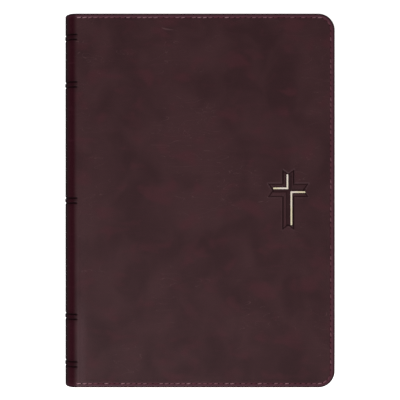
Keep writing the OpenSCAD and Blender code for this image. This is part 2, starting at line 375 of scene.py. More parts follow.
# the leather's inner side shows between the spine and the pages
flesh = mattFinish("leatherFlesh", "flesh", (0.5, 4.0, 0.7), (0.35, 0.7), 0.9, 0.12)
seamThread = threadFinish("burgundyThread", *colours["seamThread"])
needleHoleShade = needleShadeFinish()
foil = foilFinish()
leafPaper = paperFinish("leafPaper", *colours["leafPaper"])
endPaper = paperFinish("endPaper", *colours["endPaper"])
gilt = giltFinish()
board = mattFinish("greyBoard", "board", (0.8, 5.0, 0.7), (0.35, 0.65), 0.9, 0.05)
gauze = gauzeFinish()
pulpLook = ((1.1, 5.0, 0.72), (0.35, 0.65), 0.86, 0.04, (1.0, 0.35, 1.0))
kraft = mattFinish("kraftLining", "kraft", *pulpLook)
linerCard = mattFinish("linerCard", "linerCard", *pulpLook)
wineSilk = threadFinish("wineSilk", *colours["wineSilk"])
ivorySilk = threadFinish("ivorySilk", *colours["ivorySilk"])
print("finishes:", len(bpy.data.materials), "materials")


# pieces: points and faces are worked out first, and makeMesh turns them into an object

def makeMesh(name, points, faces, materials, marks=None, faceFinish=None, creaseAngle=None):
    # points are in millimetres, and marks are extra values, one for each point
    mesh = bpy.data.meshes.new(name)
    mesh.from_pydata((np.asarray(points, float) * mm).tolist(), [], faces)
    for material in materials:
        mesh.materials.append(material)
    if faceFinish is not None:
        mesh.polygons.foreach_set("material_index", faceFinish)
    mesh.polygons.foreach_set("use_smooth", [True] * len(mesh.polygons))
    if creaseAngle is not None:
        mesh.set_sharp_from_angle(angle=math.radians(creaseAngle))
    for key, values in (marks or {}).items():
        values = np.asarray(values, np.float32)
        kind = "FLOAT_VECTOR" if values.ndim == 2 else "FLOAT"
        field = "vector" if values.ndim == 2 else "value"
        mesh.attributes.new(key, kind, "POINT").data.foreach_set(field, values.ravel())
    mesh.update()
    piece = bpy.data.objects.new(name, mesh)
    scene.collection.objects.link(piece)
    return piece


def tubeFaces(first, rings, sides, flip=False):
    # the faces between a tube's rings, where first is the number of the first ring's first point
    faces = []
    for a in range(first, first + (rings - 1) * sides, sides):
        for s in range(sides):
            b = a + (s + 1) % sides
            quad = (a + s, b, b + sides, a + s + sides)
            faces.append(quad[:1] + quad[:0:-1] if flip else quad)
    return faces


def gridLines(start, stop, coarse, zones):
    # places from start to stop, closer together inside each (from, to, step) zone
    places = [start]
    while places[-1] < stop - 1e-6:
        here = places[-1]
        steps = [fine for low, high, fine in zones if low - 1e-6 <= here < high - 1e-6]
        borders = [edge for zone in zones for edge in zone[:2] if edge > here + 1e-6]
        places.append(min([here + min(steps + [coarse]), stop] + borders))
    return np.array(places)


spineShape = {
    "shoulder": 5.0,  # radius where the spine turns into a cover
    "edgeThick": 2.0,  # doubled leather at the spine's head and tail
}

# the spine is one big arc that runs smoothly into a small one at each shoulder
bulge = jointX - spineX
shoulderR = spineShape["shoulder"]
shoulderRise = midZ - underZ - shoulderR
spineR = (bulge ** 2 - shoulderR ** 2 + shoulderRise ** 2) / (2 * (bulge - shoulderR))
spineCx = spineX + spineR
tangent = math.atan2(shoulderRise, spineR - bulge)
spineU = spineR * tangent  # developed length from the spine's middle to its shoulder
jointU = spineU + shoulderR * (math.pi / 2 - tangent)
foreU = jointU + foreX - jointX


def onCover(u, y, depth, side):
    # from a developed place on the leather to space: u runs from the middle of the spine round
    # its shoulder and out to the fore edge, and side is 1 for the front and -1 for the back
    u, y, depth = np.broadcast_arrays(*(np.asarray(v, float) for v in (u, y, depth)))
    bigA = math.pi - u / spineR
    smallA = math.pi - tangent - (u - spineU) / shoulderR
    rounded = u < spineU
    flat = u >= jointU
    x = np.where(rounded, spineCx + (spineR - depth) * np.cos(bigA),
                 np.where(flat, jointX + u - jointU, jointX + (shoulderR - depth) * np.cos(smallA)))
    rise = np.where(rounded, (spineR - depth) * np.sin(bigA),
                    np.where(flat, topZ - midZ - depth,
                             shoulderRise + (shoulderR - depth) * np.sin(smallA)))
    return np.stack([x, y, midZ + side * rise], -1)


bands = {
    "places": (-94.5, -67.1, 0.0, 67.1, 94.5),  # along the spine
    "spacing": 2.9,  # between a band's two grooves
    "width": 0.42,
    "depth": 0.42,
    "rib": 0.16,  # how proud the leather stands between them
    "ribPart": 0.42,  # the rib's half-width, as a part of the spacing
    "reach": (0.2, 1.1),  # how far a groove runs on past the joint, and where it has gone
    "shadow": 0.3,  # how much darker the leather is all round a band
    "grooveShade": 0.85,  # painted shade: how much darker a groove is at the joint
    "grooveShadeLeft": 0.25,  # how much of that painted shade is left towards the middle of the spine
    "grooveShadeFrom": (8.0, 14.0),  # from the spine's middle, where the painted shade in the grooves begins to deepen and is full
}
ridge = {
    "place": 1.3,  # past the joint
    "width": 0.8,
    "height": 0.16,
    "headPart": 0.35,  # how much of its height is left at the head
    "hollow": (3.9, 1.6, 0.05),  # the shallow hollow beside it: place, width and depth
}
foilLow, foilHigh = span("foil_cross")
cross = {
    "stemHalf": 3.35,  # half the stem's width, and half the arms'
    "armHalf": 3.8,
    "side": 11.6,  # how far the outline reaches from the crossing
    "up": 11.9,
    "down": 22.7,
    "notch": 2.5,  # how far each end is cut in
    "lineWidth": 0.56,
    "lineDepth": 0.42,
    "lip": 0.11,
    "swell": 0.06,  # how far the leather between the line and the beds is raised
    "bedDepth": 0.2,
    "channelDepth": 0.34,
    # pressed rectangles round the stem's and arms' crossing: from x, to x, from y, to y
    "beds": ((-1.2, 1.5, 0.0, 9.1), (-1.1, 2.5, -20.2, 0.0),
             (-8.8, 0.0, -1.0, 1.7), (0.0, 9.8, -1.9, 0.4)),
    "strokes": ((-1.0, -0.1, 0.6, 9.1), (-8.8, -0.1, 0.6, 1.5),
                (1.3, 2.2, -20.2, -0.7), (1.3, 9.8, -1.6, -0.7)),
    "around": 14.0,  # how far its relief reaches sideways and up
    "below": 25.0,
}
# where the stem and the arms cross, from where the foil lies
stemX = foilLow.x - min(stroke[0] for stroke in cross["strokes"])
armY = foilHigh.y - max(stroke[3] for stroke in cross["strokes"])


def crossOutline():
    c = cross
    s, a = c["stemHalf"], c["armHalf"]
    up, down, side, notch = c["up"], c["down"], c["side"], c["notch"]
    right = [(s, a), (side, a), (side - notch, 0), (side, -a), (s, -a), (s, -down), (0, notch - down)]
    left = [(-x, y) for x, y in reversed(right[:-1])]
    return right + left + [(-s, up), (0, up - notch), (s, up)]


def insideBy(x, y, outline):
    # distance from the outline, positive inside it, and how level the nearest line is, from 0 to 1
    nearest = np.full(x.shape, 1e9)
    level = np.zeros(x.shape)
    inside = np.zeros(x.shape, bool)
    for (ax, ay), (bx, by) in zip(outline, outline[1:] + outline[:1]):
        ex, ey = bx - ax, by - ay
        t = np.clip(((x - ax) * ex + (y - ay) * ey) / (ex * ex + ey * ey), 0, 1)
        away = np.hypot(x - ax - t * ex, y - ay - t * ey)
        level = np.where(away < nearest, abs(ex) / math.hypot(ex, ey), level)
        nearest = np.minimum(nearest, away)
        if ay != by:
            inside ^= ((ay > y) != (by > y)) & (x < ax + (y - ay) * ex / ey)
    return np.where(inside, nearest, -nearest), level


def pressedBy(x, y, rectangles, grow, soft):
    # 1 on the floor of the rectangles, which are made larger by grow, and 0 soft millimetres out
    depth = np.zeros(x.shape)
    for x0, x1, y0, y1 in rectangles:
        into = np.minimum(np.minimum(x - x0, x1 - x), np.minimum(y - y0, y1 - y)) + grow
        depth = np.maximum(depth, smooth(-soft / 2, soft / 2, into))
    return depth


def crossRelief(x, y):
    # depth, painted shade and painted highlight of the pressed cross, about the crossing of its stem and
    # arms
    into, level = insideBy(x, y, crossOutline())
    line = 1 - smooth(0.0, cross["lineWidth"] * 0.85, np.abs(into - cross["lineWidth"] / 2))
    bed = pressedBy(x, y, cross["beds"], 0.1, 0.35)
    channel = pressedBy(x, y, cross["strokes"], 0.05, 0.26)
    floor = np.maximum(cross["lineDepth"] * line, cross["bedDepth"] * bed)
    floor = np.maximum(floor, cross["channelDepth"] * channel)
    lip = cross["lip"] * bell(into, -0.35, 0.3) + cross["swell"] * smooth(0.5, 1.2, into) * (1 - bed)
    bedSide = bed * (1 - bed)
    # painted shade in the cross's lines, beds and bed walls, lighter on level lines
    dark = line * (1 - 0.5 * level) + 0.38 * bed + 3.4 * bedSide
    # painted highlight on the lips of the level lines above the crossing
    wearAndHighlight = bell(into, -0.4, 0.35) * (0.2 + 0.8 * level * (y > 0))
    return floor - lip, dark, wearAndHighlight


def coverRelief(u, y, withCross):
    # how deep the leather's face lies below its plain surface, and its painted shade and painted
    # highlight
    past = u - jointU
    held = 1 - smooth(*bands["reach"], past)
    depth = np.zeros(u.shape)
    dark = np.zeros(u.shape)
    wearAndHighlight = np.zeros(u.shape)
    # painted shade in the bands' grooves, with less of it towards the spine's middle
    grooveShade = bands["grooveShade"] * (bands["grooveShadeLeft"] + (1 - bands["grooveShadeLeft"]) * smooth(*bands["grooveShadeFrom"], u))
    for band in bands["places"]:
        dark += bands["shadow"] * bell(y, band, bands["spacing"]) * held
        depth -= bands["rib"] * bell(y, band, bands["spacing"] * bands["ribPart"]) * held
        for groove in (band - bands["spacing"] / 2, band + bands["spacing"] / 2):
            cut = bell(y, groove, bands["width"]) * held
            depth += bands["depth"] * cut
            dark += grooveShade * cut
    height = ridge["headPart"] + (1 - ridge["headPart"]) * smooth(20, -80, y)
    height *= ridge["height"] * (1 - 0.8 * np.clip(dark, 0, 1))
    hollowPlace, hollowWidth, hollowDepth = ridge["hollow"]
    depth += hollowDepth * bell(past, hollowPlace, hollowWidth)
    depth -= height * bell(past, ridge["place"], ridge["width"])
    if withCross:
        crossX, crossY = jointX + past - stemX, y - armY
        near = np.maximum(np.abs(crossX), crossY) < cross["around"]
        near &= crossY > -cross["below"]
        pressed, shaded, wearAndHighlight[near] = crossRelief(crossX[near], crossY[near])
        depth[near] += pressed
        dark[near] += shaded
    return depth, np.clip(dark, 0, 1), wearAndHighlight


def softWaves(u, y, height, size):
    # the slight unevenness of soft leather
    waves = [noise.noise(Vector((a / size, b / size, 0.37))) for a, b in zip(u.ravel(), y.ravel())]
    return height * np.array(waves).reshape(u.shape)


skin = {
    "corner": 9.5,  # radius of the fore-edge corners
    "edgeRound": 1.12,  # radius of the rolled edge
    "seam": 2.35,  # the seam's distance from the edge
    "trough": 0.3,  # how far the seam is drawn in
    "turnIn": 0.25,  # the thinned leather under the endpaper
    "waves": (0.05, 17.0),  # height and size of the unevenness
    "calm": 6.0,  # from the spine's middle, where the unevenness is full
    "cornerSteps": 14,
    "thickens": 5.0,  # past the joint, where the cover has its whole thickness
    "sewnFrom": (-0.6, 0.3),  # past the joint, where the drawn-in seam begins and is full
    "settles": 1.6,  # in from the edge, where bands and unevenness are full
    "margin": (1.9, 3.4),  # in from the edge, where the rubbed margin fades
    "turnedRub": 0.8,  # how rubbed the turned-in leather is
    "spineRub": 0.25,  # how much of the rubbing there is on the spine
    "rim": (0.5, 1.35),  # in from the edge, where the dark rim fades
    "shoulder": (-2.1, 1.2),  # past the joint, where the stretched red leather ends
    "spineShade": (8.0, 13.0),  # from the spine's middle, where its painted shade ends
}
innerU, innerY = foreU - skin["corner"], headY - skin["corner"]  # the middle of a corner's arc


def edgeProfile(thick, sewn):
    # from the face, over the rolled edge and under the board: (distance in from the edge, depth)
    r = min(skin["edgeRound"], thick / 2)
    seam, trough = skin["seam"], skin["trough"] * sewn
    drawn = [(3.7, -0.03), (3.2, -0.03), (2.95, 0.0), (2.75, 0.12), (2.55, 0.7), (2.35, 1.0),
             (2.15, 0.7), (1.95, 0.12), (1.75, 0.0), (1.5, -0.02)]
    shape = [(seam - 2.35 + s, d * trough if d > 0 else d * sewn) for s, d in drawn]
    face = [(skin["corner"] - 1.5, 0.0), (6.2, 0.0), (5.0, 0.0), (4.3, 0.0)] + shape
    turns = [math.radians(a) for a in range(15, 91, 15)]
    over = [(r - r * math.sin(a), r - r * math.cos(a)) for a in turns]
    under = [(s, thick - d) for s, d in reversed(over)]
    inside = [(s, thick - d) for s, d in reversed(shape[2:-1])]
    tuck = [(marginWide + 0.1, thick - skin["turnIn"] - 0.03), (8.6, thick - skin["turnIn"] - 0.03),
            (8.6, thick - 2 * skin["turnIn"]), (r + 0.25, thick - 2 * skin["turnIn"])]
    flesh = [(leatherThick, thick / 2), (r + 0.2, leatherThick)]
    return face + over + under + inside + tuck + flesh, len(face) + len(over)


class Sheet:
    # half of the case's leather while it is made: its points with their marks, and its faces

    def __init__(self, side):
        self.side = side
        self.points = []
        self.developed = []
        self.marks = {"pressed": [], "burnish": [], "rim": []}
        self.faces = []
        self.finish = []
        self.count = 0

    def add(self, u, y, depth, **marks):
        # adds points at developed places and gives the number of the first
        first = self.count
        u, y, depth = (v.ravel() for v in np.broadcast_arrays(u, y, depth))
        self.points.append(onCover(u, y, depth, self.side))
        self.developed.append(np.stack([u, y, depth], -1))
        for name, values in self.marks.items():
            values.append(np.broadcast_to(marks.get(name, 0.0), u.shape))
        self.count += u.size
        return first

    def face(self, corners, slot=0):
        self.faces.append(tuple(corners) if self.side > 0 else tuple(reversed(corners)))
        self.finish.append(slot)


def aroundCover(uLines, yLines):
    # stations round the open edges, from the spine's tail to its head: the place that they are
    # measured from, the direction outward, and the number of the grid's point beside them
    rows, columns = len(uLines), len(yLines)
    foreTail, foreHead = (rows - 1) * columns, rows * columns - 1
    turns = [math.pi / 2 * k / skin["cornerSteps"] for k in range(1, skin["cornerSteps"])]
    stations = [(u, -innerY, 0.0, -1.0, i * columns) for i, u in enumerate(uLines)]
    stations += [(innerU, -innerY, math.sin(a), -math.cos(a), foreTail) for a in turns]
    stations += [(innerU, y, 1.0, 0.0, foreTail + j) for j, y in enumerate(yLines)]
    stations += [(innerU, innerY, math.cos(a), math.sin(a), foreHead) for a in turns]
    stations += [(uLines[i], innerY, 0.0, 1.0, (i + 1) * columns - 1) for i in reversed(range(rows))]
    return stations


def turnOver(sheet, stations):
    # carries the leather over the open edges and under the board, ring by ring, and gives the
    # number of each ring's first point
    startU, startY, outU, outY = np.array([s[:4] for s in stations]).T
    before = [s[4] for s in stations]
    onBoard = smooth(jointU, jointU + skin["thickens"], startU)
    thickness = spineShape["edgeThick"] + (coverThick - spineShape["edgeThick"]) * onBoard
    sewn = smooth(jointU + skin["sewnFrom"][0], jointU + skin["sewnFrom"][1], startU)
    profiles = [edgeProfile(t, s) for t, s in zip(thickness, sewn)]
    ringCount = len(profiles[0][0])
    faceRings = profiles[0][1]
    starts = []
    for ring in range(ringCount):
        inset, below = np.array([p[0][ring] for p in profiles]).T
        u = startU + outU * (skin["corner"] - inset)
        y = startY + outY * (skin["corner"] - inset)
        dark = 0.0
        rubbed = skin["turnedRub"]
        if ring < faceRings:
            cut, dark, _ = coverRelief(u, y, False)
            waves = softWaves(u, y, *skin["waves"]) * smooth(0, skin["calm"], u)
            below = below + (cut + waves) * smooth(0.0, skin["settles"], inset)
            rubbed = 1 - smooth(*skin["margin"], inset)
        rubbed = rubbed * (1 - 0.75 * bell(inset, skin["seam"], 0.3))
        rubbed = rubbed * (skin["spineRub"] + (1 - skin["spineRub"]) * sewn)
        first = sheet.add(u, y, below, pressed=dark, burnish=rubbed, rim=1 - smooth(*skin["rim"], inset))
        now = range(first, first + len(stations))
        for k in range(len(stations) - 1):
            corners = [before[k], now[k], now[k + 1], before[k + 1]]
            if before[k] == before[k + 1]:
                corners = corners[:3]
            sheet.face(corners, 1 if ring >= ringCount - 2 else 0)
        before = now
        starts.append(first)
    return starts


def fleshSide(sheet, uLines, yLines, rings, count):
    # the leather's inner side, and the cut that meets the other half along the spine's middle
    rows, columns = len(uLines), len(yLines)
    tail = sheet.add(uLines, -innerY, leatherThick)
    head = sheet.add(uLines, innerY, leatherThick)
    fore = sheet.add(innerU, yLines[1:-1], leatherThick)
    tailSide = list(range(tail, tail + rows))
    headSide = list(range(head, head + rows))
    foreSide = [tailSide[-1]] + list(range(fore, fore + columns - 2)) + [headSide[-1]]
    turning = skin["cornerSteps"] - 1
    after = tailSide + [tailSide[-1]] * turning + foreSide + [headSide[-1]] * turning + headSide[::-1]
    last = rings[-1]
    for k in range(count - 1):
        corners = [last + k, after[k], after[k + 1], last + k + 1]
        if after[k] == after[k + 1]:
            corners = [last + k, after[k], last + k + 1]
        sheet.face(corners, 1)
    for i in range(rows - 2):
        sheet.face((tailSide[i], headSide[i], headSide[i + 1], tailSide[i + 1]), 1)
    sheet.face([tailSide[-2], headSide[-2]] + foreSide[::-1], 1)
    headRings = [first + count - 1 for first in rings]
    sheet.face(list(range(columns)) + headRings + [headSide[0], tailSide[0]] + rings[::-1], 1)


def bookSkin(name, side, uLines, yLines, withCross):
    # one half of the case's leather: half the spine and one cover, turned in round its board
    sheet = Sheet(side)
    gridU, gridY = np.meshgrid(uLines, yLines, indexing="ij")
    depth, dark, wearAndHighlight = coverRelief(gridU, gridY, withCross)
    depth += softWaves(gridU, gridY, *skin["waves"]) * smooth(0, skin["calm"], gridU)
    sheet.add(gridU, gridY, depth, pressed=dark.ravel())
    rows, columns = gridU.shape
    for i in range(rows - 1):
        for j in range(columns - 1):
            here = i * columns + j
            sheet.face((here, here + columns, here + columns + 1, here + 1))
    stations = aroundCover(uLines, yLines)
    rings = turnOver(sheet, stations)
    fleshSide(sheet, uLines, yLines, rings, len(stations))
    developed = np.concatenate(sheet.developed)
    u, y = developed[:, 0], developed[:, 1]
    # painted highlight: the corner beside the joint is paler towards the tail
    paintedHighlight = smooth(jointU + 0.2, jointU + 1.4, u) * (1 - smooth(jointU + 1.5, jointU + 8, u))
    paintedHighlight *= (0.2 + 0.5 * smooth(-50, -80, y)) * smooth(20, -60, y)
    # the painted highlight on the cross's raised lips joins it
    paintedHighlight[:wearAndHighlight.size] = np.maximum(paintedHighlight[:wearAndHighlight.size], wearAndHighlight.ravel())
    marks = {key: np.concatenate(values) for key, values in sheet.marks.items()}
    marks["place"] = developed * mm + (0.0, 0.0, 0.3 * side)  # no two covers share a grain
    marks["paintedHighlight"] = paintedHighlight
    marks["spineWard"] = 1 - smooth(jointU + skin["shoulder"][0], jointU + skin["shoulder"][1], u)
    marks["spineShadeMask"] = 1 - smooth(*skin["spineShade"], u)
    points = np.concatenate(sheet.points)
    piece = makeMesh(name, points, sheet.faces, [leather, flesh], marks, sheet.finish)
    piece.data.polygons[len(sheet.faces) - 1].use_smooth = False
    print(name + ":", len(piece.data.vertices), "points")
    return piece


def skinLines(withCross):
    # the grid's lines, closer together at the joint, at the bands' grooves and round the cross
    zonesU = [(0.0, 0.1, 0.05), (0.1, jointU - 5, 1.2), (jointU - 5, jointU + 6.5, 0.5)]
    zonesY = [(b + s * bands["spacing"] / 2 - 0.9, b + s * bands["spacing"] / 2 + 0.9, 0.18)
              for b in bands["places"] for s in (-1, 1)]
    crossU = jointU + stemX - jointX
    if withCross:
        zonesU.append((crossU - 12.6, crossU + 12.6, 0.25))
        zonesY.append((armY - 23.6, armY + 13, 0.25))
    return gridLines(0.0, innerU, 3.2, zonesU), gridLines(-innerY, innerY, 3.2, zonesY)


def across(piece):
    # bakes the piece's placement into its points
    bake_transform(piece)


jointZones = {  # zones about the joint's line; only the leaves' zone is read, to set closer columns of points in the leaves
    "front": (-2.5, 4.0),
    "back": (-3.0, 5.5),
    "leaves": (-1.5, 9.0),
}

for side, where in ((1, "front"), (-1, "back")):
    half = bookSkin(where + "Leather", side, *skinLines(side > 0), side > 0)
    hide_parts(where + "_leather", "spine_leather")
    across(half)
print("leather: done")


stitch = {
    "pitch": 3.15,
    "gap": 0.62,  # between two stitches, where the needle went through
    "width": 0.62,
    "height": 0.42,
    "twist": 2.3,  # turns of the thread's two plies along a stitch
    "sides": 10,
    "rings": 9,
    "start": 0.1,  # where the seam begins, past the joint
    "slant": 0.13,  # how far each end of a stitch lies off the seam's middle
    "uneven": 0.08,  # how much the slant varies
    "ply": 0.14,  # how much the two plies stand out
    "twice": 3,  # stitches at the seam's ends that are sewn over twice
    "proud": 0.1,  # how much higher those stand
    "hole": 0.34,  # radius of a needle hole
    "ends": 2.2,  # how many stitches at the seam's ends carry a painted highlight; the next value is how strong it is
    "endHighlight": 0.8,
    "wear": {"across": 0.62, "fore": 0.26},  # the most that single stitches are worn
}


seamStart = jointX + stitch["start"]
seamR = skin["corner"] - skin["seam"]
cornerX = foreX - skin["corner"]


def seamPlace(length):
    # a place along the seam and its direction: out along the tail, round the fore edge and back
    tail = cornerX - seamStart
    turn = seamR * math.pi / 2
    if length < tail:
        return seamStart + length, -innerY - seamR, 0.0
    length -= tail
    if length < turn:
        a = length / seamR - math.pi / 2
        return cornerX + seamR * math.cos(a), -innerY + seamR * math.sin(a), a + math.pi / 2
    length -= turn
    if length < 2 * innerY:
        return cornerX + seamR, length - innerY, math.pi / 2
    length -= 2 * innerY
    if length < turn:
        a = length / seamR
        return cornerX + seamR * math.cos(a), innerY + seamR * math.sin(a), a + math.pi / 2
    return cornerX - (length - turn), innerY + seamR, math.pi


class Seam:
    # the stitches of the front (side 1) or the back (side -1) while they are made

    def __init__(self, side):
        self.side = side
        self.out = 1  # 1 on the cover's outer face and -1 on its inner margin
        self.points = []
        self.wearAndHighlight = []
        self.faces = []
        self.finish = []

    def add(self, x, y, z, wearAndHighlight):
        self.points.append((x, y, midZ + self.side * (z - midZ)))
        self.wearAndHighlight.append(wearAndHighlight)

    def face(self, corners, slot):
        self.faces.append(corners if self.out * self.side < 0 else corners[::-1])
        self.finish.append(slot)

    def thread(self, level, start, length, lean, proud, wearAndHighlight):
        # one stitch of two twisted plies, lying slantwise over the seam's middle
        sides, rings = stitch["sides"], stitch["rings"]
        first = len(self.points)
        for k in range(rings):
            t = k / (rings - 1)
            x, y, heading = seamPlace(start + t * length)
            full = math.sin(math.pi * (0.08 + 0.84 * t)) ** 0.6
            for s in range(sides):
                a = 2 * math.pi * s / sides
                ply = 1 + stitch["ply"] * math.cos(2 * a - 2 * math.pi * stitch["twist"] * t)
                wide = stitch["width"] / 2 * full * ply * math.cos(a) + lean * (2 * t - 1)
                high = stitch["height"] / 2 * full * ply * math.sin(a) + 0.1 * full - 0.04
                z = level + self.out * (high + proud * full)
                self.add(x - wide * math.sin(heading), y + wide * math.cos(heading), z, wearAndHighlight)
        for corners in tubeFaces(first, rings, sides, True):
            self.face(corners, 0)
        last = first + (rings - 1) * sides
        self.face(tuple(range(first, first + sides)), 0)
        self.face(tuple(range(last, last + sides))[::-1], 0)

    def hole(self, level, place):
        # a shallow dark plug of painted shade where the needle went through
        sides = stitch["sides"]
        first = len(self.points)
        x, y, _ = seamPlace(place)
        for drop, size in ((-0.02, stitch["hole"]), (-0.14, 0.7 * stitch["hole"])):
            for s in range(sides):
                a = 2 * math.pi * s / sides
                self.add(x + size * math.cos(a), y + size * math.sin(a), level + self.out * drop, 0.0)
        for corners in tubeFaces(first, 2, sides):
            self.face(corners, 1)
        self.face(tuple(range(first, first + sides))[::-1], 1)
        self.face(tuple(range(first + sides, first + 2 * sides)), 1)


def seamStitches(name, side):
    # single stitches on the cover's face and on its inner margin, with a needle hole of painted shade
    # between them
    whole = 2 * (cornerX - seamStart) + math.pi * seamR + 2 * innerY
    number = round(whole / stitch["pitch"])
    pitch = whole / number
    chance = np.random.default_rng(11)
    seam = Seam(side)
    sunk = skin["trough"] - 0.08
    for level, out in ((topZ - sunk, 1), (topZ - coverThick + sunk, -1)):
        seam.out = out
        for n in range(number):
            fromEnd = min(n, number - 1 - n)
            edge = "across" if abs(seamPlace(n * pitch)[1]) > innerY else "fore"
            wearAndHighlight = chance.random() ** 1.6 * stitch["wear"][edge]
            # painted highlight on the stitches at the seam's ends, over their random wear
            wearAndHighlight = max(stitch["endHighlight"] * math.exp(-((fromEnd / stitch["ends"]) ** 2)), wearAndHighlight)
            lean = stitch["slant"]
            lean += stitch["uneven"] * noise.noise(Vector((n * 1.7, out * 3.1, side * 5.3)))
            proud = stitch["proud"] if fromEnd < stitch["twice"] else 0.0
            seam.thread(level, n * pitch + stitch["gap"] / 2, pitch - stitch["gap"], lean, proud, wearAndHighlight)
            if n > 0:
                seam.hole(level, n * pitch)
    marks = {"wearAndHighlight": seam.wearAndHighlight}
    piece = makeMesh(name, seam.points, seam.faces, [seamThread, needleHoleShade], marks, seam.finish)
    print(name + ":", number, "stitches on each face")
    return piece


for side, where, node in ((1, "front", "front_stitching"), (-1, "back", "back_stitching")):
    seam = seamStitches(where + "Stitches", side)
    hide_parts(node)
    across(seam)


leaves = {
    "corner": 6.5,
    "perGathering": 8,
    "rounded": 0.16,  # the part of a leaf's thickness that its edge is rounded over
    "groove": 0.07,  # how far the air between two leaves cuts into the edge
    "uneven": 0.03,  # how much single leaves differ
    "air": 0.05,  # how far a gathering that stays is drawn in from its neighbours
    "bleed": 0.25,  # how far the gilding runs in over the first and the last leaf
    "foreSteps": 14,
    "cornerSteps": 7,
    "bendSteps": 30,
    "wide": span("gathering_20")[1].x - span("gathering_20")[0].x,
}


def leafLevels(low, high, count, chance):
    # heights through a stack of leaves, and how far its edge is drawn in at each
    thick = (high - low) / count
    levels = []
    for leaf in range(count):
        trim = chance.uniform(0, leaves["uneven"]) if count > 1 else 0.0
        bottom = low + leaf * thick
        levels.append((bottom + leaves["rounded"] * thick, trim))
        levels.append((bottom + (1 - leaves["rounded"]) * thick, trim))
        if leaf < count - 1:
            levels.append((bottom + thick, leaves["groove"] + trim))
    first, last = levels[0][1] + leaves["bleed"], levels[-1][1] + leaves["bleed"]
    return [(low, first)] + levels + [(high, last)]


def leafOutline(x0, x1, half, corner):
    # places from the fold to the fore edge, and how far the leaf reaches towards its head at each
    bendLow, bendHigh = (jointX + x for x in jointZones["leaves"])
    columns = [x0] + [x for x in np.linspace(bendLow, bendHigh, leaves["bendSteps"]) if x > x0 + 0.2]
    columns += list(np.linspace(bendHigh, x1 - corner, 8)[1:])
    tops = [half] * len(columns)
    for k in range(1, leaves["cornerSteps"] + 1):
        a = math.pi / 2 * k / leaves["cornerSteps"]
        columns.append(x1 - corner + corner * math.sin(a))
        tops.append(half - corner + corner * math.cos(a))
    return columns, tops


def leafStack(name, low, high, count, materials, corner=leaves["corner"], foldRound=0.0, seed=0):
    # a stack of leaves with round fore-edge corners; materials are the leaves' faces and edges
    x0, x1 = low.x, high.x
    levels = leafLevels(low.z, high.z, count, np.random.default_rng(seed))
    columns, tops = leafOutline(x0, x1, high.y, corner)
    foreYs = np.linspace(-tops[-1], tops[-1], leaves["foreSteps"] + 1)[1:-1]
    middle = (low.z + high.z) / 2
    points = []
    for z, inset in levels:
        rise = min(1.0, abs(z - middle) / (high.z - low.z) * 2)
        nose = foldRound * (1 - math.sqrt(1 - rise * rise))
        near = [max(x, x0 + nose) for x in columns]
        shrink = [inset * smooth(x0, x0 + 6, x) for x in columns]
        xs = [x - (s if x > x1 - corner else 0) for x, s in zip(near, shrink)]
        ys = [t - s for t, s in zip(tops, shrink)]
        points += [(x, -y, z) for x, y in zip(xs, ys)]
        wobble = [0.05 * noise.noise(Vector((y / 23, z * 3, seed))) for y in foreYs]
        points += [(x1 - inset - w, y, z) for y, w in zip(foreYs, wobble)]
        points += [(x, y, z) for x, y in zip(reversed(xs), reversed(ys))]
    m, f = len(columns), len(foreYs)
    loop = 2 * m + f
    faces = tubeFaces(0, len(levels), loop)
    finish = ([1] * (loop - 1) + [0]) * (len(levels) - 1)
    for k, upward in ((0, False), (len(levels) - 1, True)):
        start = k * loop
        end = start + loop - 1
        strips = [(start + i, start + i + 1, end - i - 1, end - i) for i in range(m - 1)]
        strips.append(tuple(start + i for i in range(m - 1, m + f + 1)))
        faces += strips if upward else [s[::-1] for s in strips]
        finish += [0] * len(strips)
    return makeMesh(name, points, faces, materials, None, finish, 40)


def foldedX(node):
    # a turning leaf's node is cut at the joint; its fold lies a whole leaf's width from its fore edge
    low, high = span(node)
    return Vector((high.x - leaves["wide"], low.y, low.z)), high


for node in sorted(n for n in frame["nodes"] if n.startswith("gathering_")):
    low, high = foldedX(node)
    if node not in bodies:
        low.z += leaves["air"]
        high.z -= leaves["air"]
    number = int(node[-2:])
    stack = leafStack("leaves%02d" % number, low, high, leaves["perGathering"], [leafPaper, gilt],
                      foldRound=0.45, seed=number)
    if node in bodies:
        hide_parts(node, "glued_folds")
        across(stack)
    else:
        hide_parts(node)
        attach(stack, "book_block")

for where in ("front", "back"):
    low, high = foldedX(where + "_flyleaf")
    flyleaf = leafStack(where + "Flyleaf", low, high, 1, [endPaper, gilt])
    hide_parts(where + "_flyleaf")
    across(flyleaf)
    low, high = span(where + "_pastedown")
    low.x = foldedX(where + "_flyleaf")[0].x + 0.15
    pastedown = leafStack(where + "Pastedown", low, high, 1, [endPaper, endPaper],
                          corner=skin["corner"] - marginWide)
    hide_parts(where + "_pastedown")
    across(pastedown)
print("pages: done")


endBand = {
    "backRadius": 21.0,  # of the pages' rounded back
    "bead": 0.8,  # radius of the wrapped core
    "wrap": 0.55,  # width of one turn of thread
    "sides": 12,
    "ringsPerWrap": 4,
    "wrapsPerColour": 2,
    "tape": 0.3,  # thickness of the cloth tape
    "tapeSteps": 24,
}


